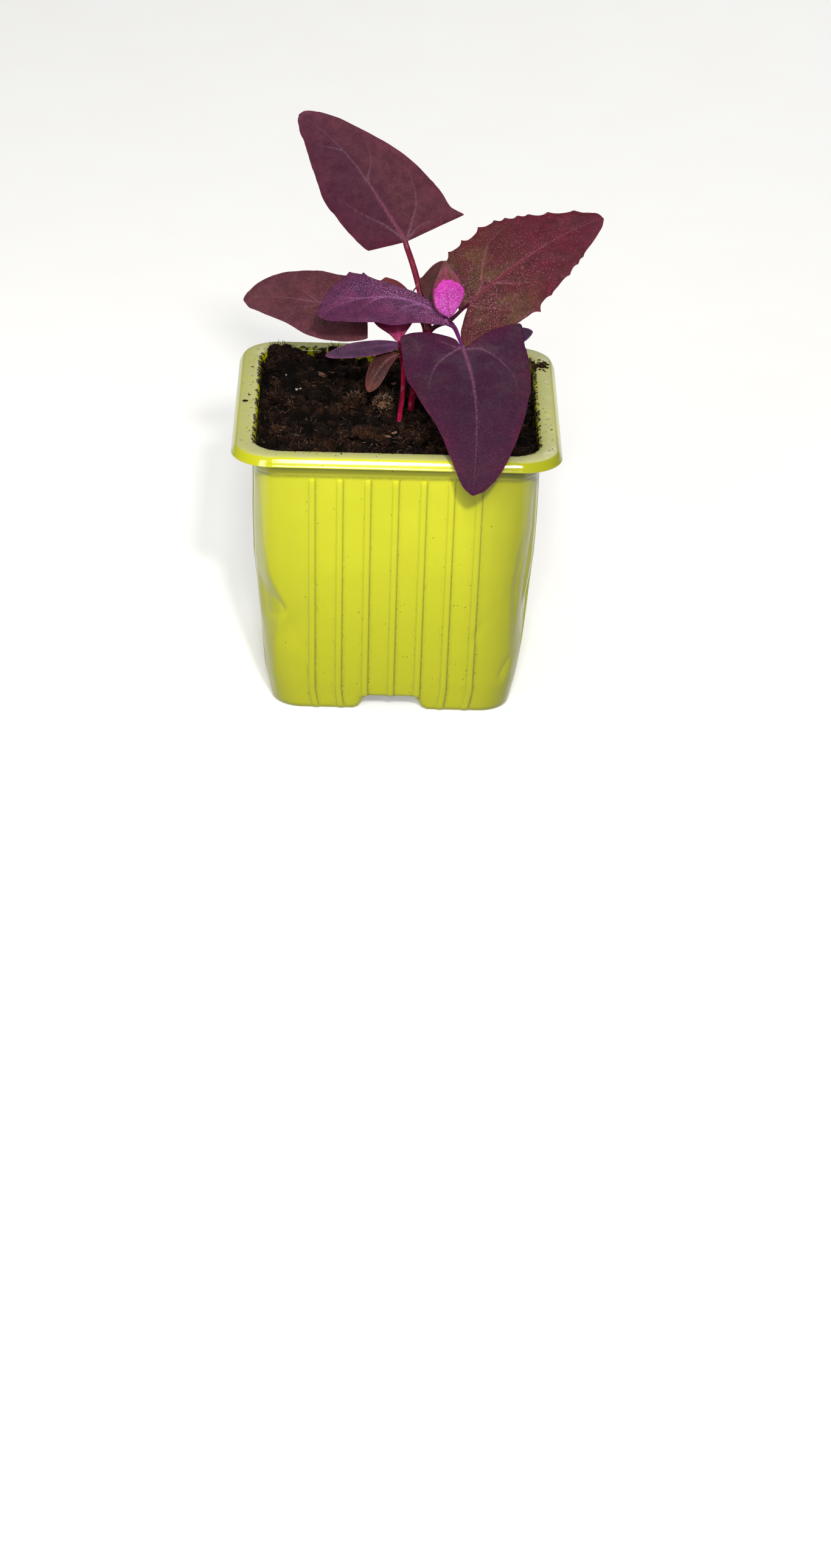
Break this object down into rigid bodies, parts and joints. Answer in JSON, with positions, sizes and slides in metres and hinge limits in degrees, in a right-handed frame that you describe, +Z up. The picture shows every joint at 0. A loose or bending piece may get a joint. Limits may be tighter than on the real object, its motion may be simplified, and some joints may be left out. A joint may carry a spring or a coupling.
{
  "type": "potted red orache",
  "caption": "Two young red orache seedlings with broad plum-coloured leaves growing in soil in a square ribbed nursery pot.",
  "frame": {"origin": "middle of the pot's underside, on the surface it stands on", "axes": "+Z up, the longest extent; -Y to the side the picture was taken from, over which the front leaf hangs; +X to the right"},
  "size_m": [0.1014, 0.0983, 0.1599],
  "materials": {
    "pot_plastic": "thin moulded lime green plastic, slightly glossy, dusty on the rim",
    "soil": "dark moist peat with crumbs, fibres and bark bits",
    "stem": "fresh crimson stem",
    "leaf_plum": "matte dark plum leaf with pale pinkish veins",
    "leaf_burgundy": "matte burgundy to olive leaf with mealy dots",
    "leaf_violet": "violet leaf under a glittering mealy coat",
    "leaf_magenta": "bright magenta young leaf, mealy",
    "cotyledon": "smooth slate purple seed leaf"
  },
  "bodies": {
    "root": {"pot": "pot_plastic", "soil": "soil", "stem_main": "stem", "stem_small": "stem", "leaf_top": "leaf_plum", "leaf_right": "leaf_burgundy", "leaf_front": "leaf_plum", "leaf_left": "leaf_violet", "leaf_back_left": "leaf_burgundy", "leaf_young": "leaf_magenta", "leaf_young_back": "leaf_burgundy", "leaf_inner": "leaf_magenta", "cotyledon_upper": "cotyledon", "cotyledon_lower": "cotyledon", "cotyledon_side": "cotyledon"}
  },
  "joints": []
}
